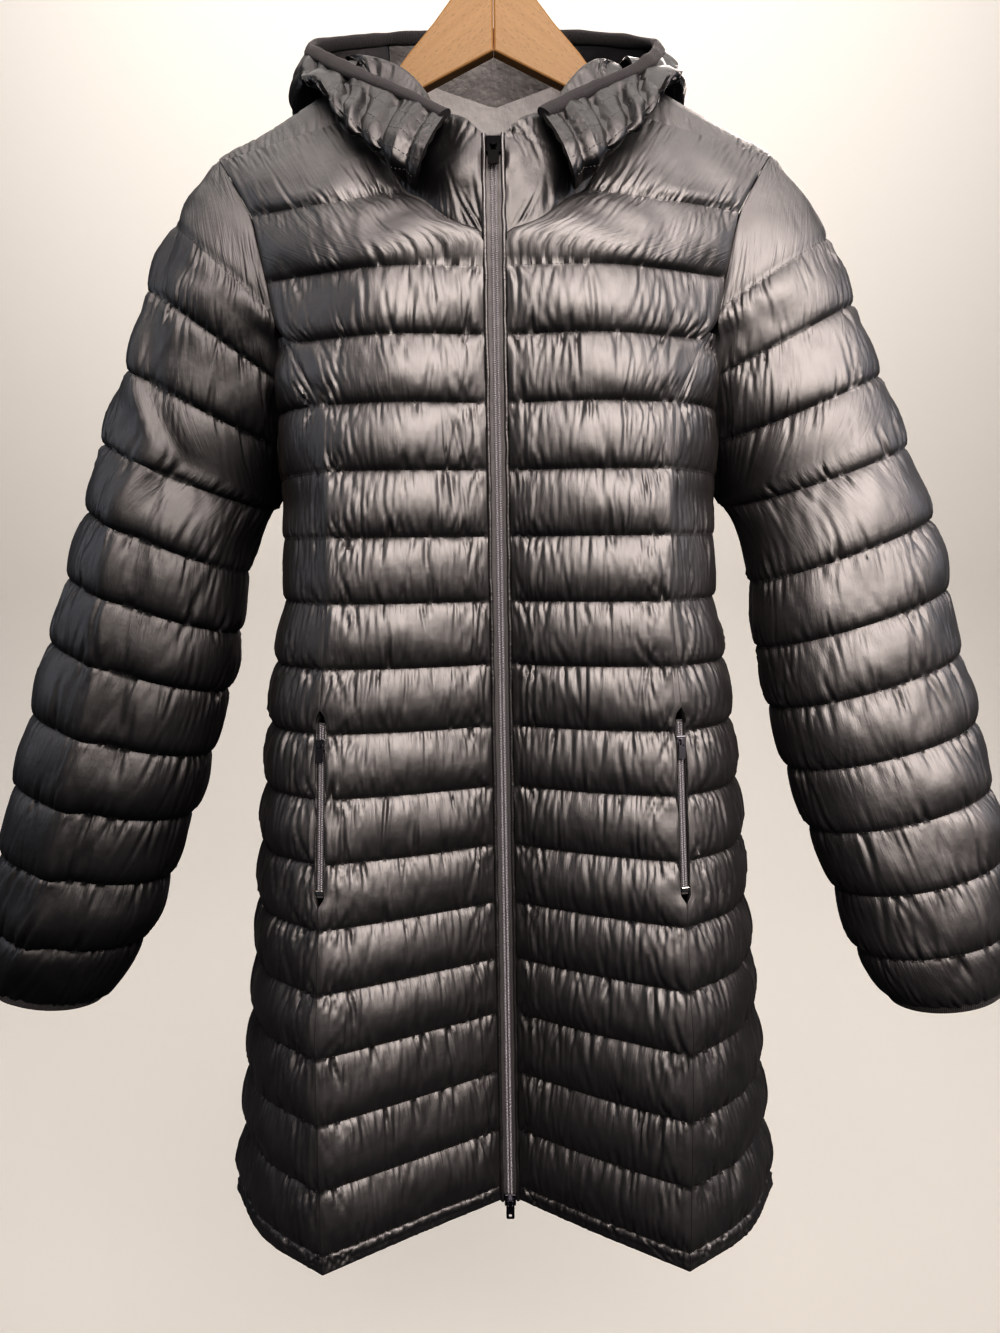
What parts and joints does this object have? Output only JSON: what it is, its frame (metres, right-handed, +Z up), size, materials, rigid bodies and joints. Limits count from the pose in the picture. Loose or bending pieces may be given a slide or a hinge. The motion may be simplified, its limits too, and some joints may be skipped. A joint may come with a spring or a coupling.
{
  "type": "long hooded puffer coat on a coat hanger",
  "caption": "Long quilted coat with hood, stand collar, two-way front zip and zipped side pockets, hanging closed on a plain wooden hanger with a wire hook.",
  "frame": {"origin": "inside top of the hook's bend, the point by which the hanger hangs from a rail", "axes": "+X to the viewer's right as the coat's front is faced, +Y from the coat's front to its back, +Z up from the hem to the hook"},
  "size_m": [0.7833, 0.2853, 1.0599],
  "materials": {
    "shell": "black coated nylon with a soft sheen, quilted over down",
    "knit": "matte charcoal knitted elastic binding",
    "zip": "black nylon coil, woven tape and lacquered slider",
    "gunmetal": "dark gunmetal plated zinc",
    "nickel": "bright nickel plate",
    "beech": "light beech, lacquered",
    "steel": "bright plated steel wire"
  },
  "bodies": {
    "coat_on_hanger": {"back": "shell", "collar_back": "shell", "collar_front_left": "shell", "collar_front_right": "shell", "cuff_binding_left": "knit", "cuff_binding_right": "knit", "front_left": "shell", "front_right": "shell", "hanger_arm_left": "beech", "hanger_arm_right": "beech", "hanger_ferrule": "steel", "hanger_hook": "steel", "hood_binding": "knit", "hood_centre": "shell", "hood_side_left": "shell", "hood_side_right": "shell", "pocket_left_slider": "gunmetal", "pocket_right_slider": "gunmetal", "pocket_stop_left": "nickel", "pocket_stop_right": "nickel", "pocket_zip_left": "zip", "pocket_zip_right": "zip", "side_left": "shell", "side_right": "shell", "sleeve_left": "shell", "sleeve_right": "shell", "zip_bottom_slider": "gunmetal", "zip_chain": "zip", "zip_tape_left": "zip", "zip_tape_right": "zip", "zip_top_slider": "zip"},
    "pocket_left_pull_tab": {"pocket_left_pull": "gunmetal"},
    "pocket_right_pull_tab": {"pocket_right_pull": "gunmetal"},
    "zip_bottom_pull_tab": {"zip_bottom_pull": "gunmetal"},
    "zip_top_pull_tab": {"zip_top_pull": "zip"}
  },
  "joints": [
    {"name": "pocket_left_pull_hinge", "type": "hinge", "parent": "coat_on_hanger", "child": "pocket_left_pull_tab", "pos_m": [-0.12959, -0.12457, -0.64804], "axis": [-0.9743, 0.2251, 0], "range_deg": [0, 150]},
    {"name": "pocket_right_pull_hinge", "type": "hinge", "parent": "coat_on_hanger", "child": "pocket_right_pull_tab", "pos_m": [0.12959, -0.12457, -0.64804], "axis": [-0.9743, -0.2254, 0], "range_deg": [0, 150]},
    {"name": "zip_bottom_pull_hinge", "type": "hinge", "parent": "coat_on_hanger", "child": "zip_bottom_pull_tab", "pos_m": [0.00395, -0.08005, -1.03995], "axis": [-1, 0, 0], "range_deg": [0, 150]},
    {"name": "zip_top_pull_hinge", "type": "hinge", "parent": "coat_on_hanger", "child": "zip_top_pull_tab", "pos_m": [-0.00097, -0.09474, -0.23262], "axis": [-1, 0, 0], "range_deg": [0, 150]}
  ]
}
